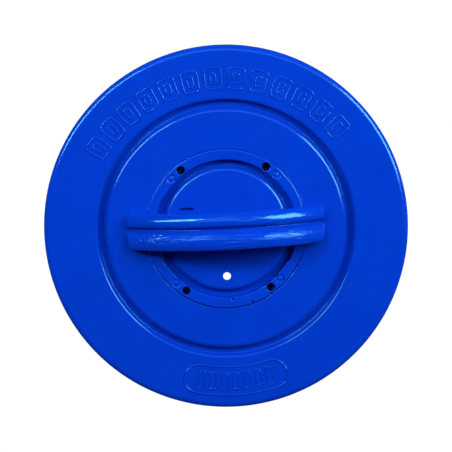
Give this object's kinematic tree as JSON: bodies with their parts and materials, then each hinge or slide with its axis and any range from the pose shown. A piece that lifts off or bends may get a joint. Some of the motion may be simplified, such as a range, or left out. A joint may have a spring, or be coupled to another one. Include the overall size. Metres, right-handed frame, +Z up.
{
  "type": "filter cartridge",
  "caption": "Pleated water filter cartridge with cast blue end caps, an arched lifting handle on top and a round slip-fit opening below.",
  "frame": {"origin": "centre of the bottom cap's flat outer face", "axes": "+Z up the cartridge's axis towards the handle, the handle spans -X to +X, the vent hole is on the -Y side"},
  "size_m": [0.216, 0.216, 0.253],
  "materials": {
    "cap": "cast polyurethane, glossy, royal blue",
    "handle": "moulded, glossy, royal blue, faint ripples",
    "screw": "plain steel, dull at the bottoms of dark wells",
    "core": "moulded white plastic, satin",
    "media": "spun-bonded polyester, white, fine fibres",
    "band": "woven white polyester strap"
  },
  "bodies": {
    "root": {"top_cap": "cap", "handle": "handle", "handle_screws": "screw", "core_upper": "core", "core_middle": "core", "core_lower": "core", "pleated_media": "media", "band_upper": "band", "band_lower": "band", "bottom_cap": "cap"}
  },
  "joints": []
}
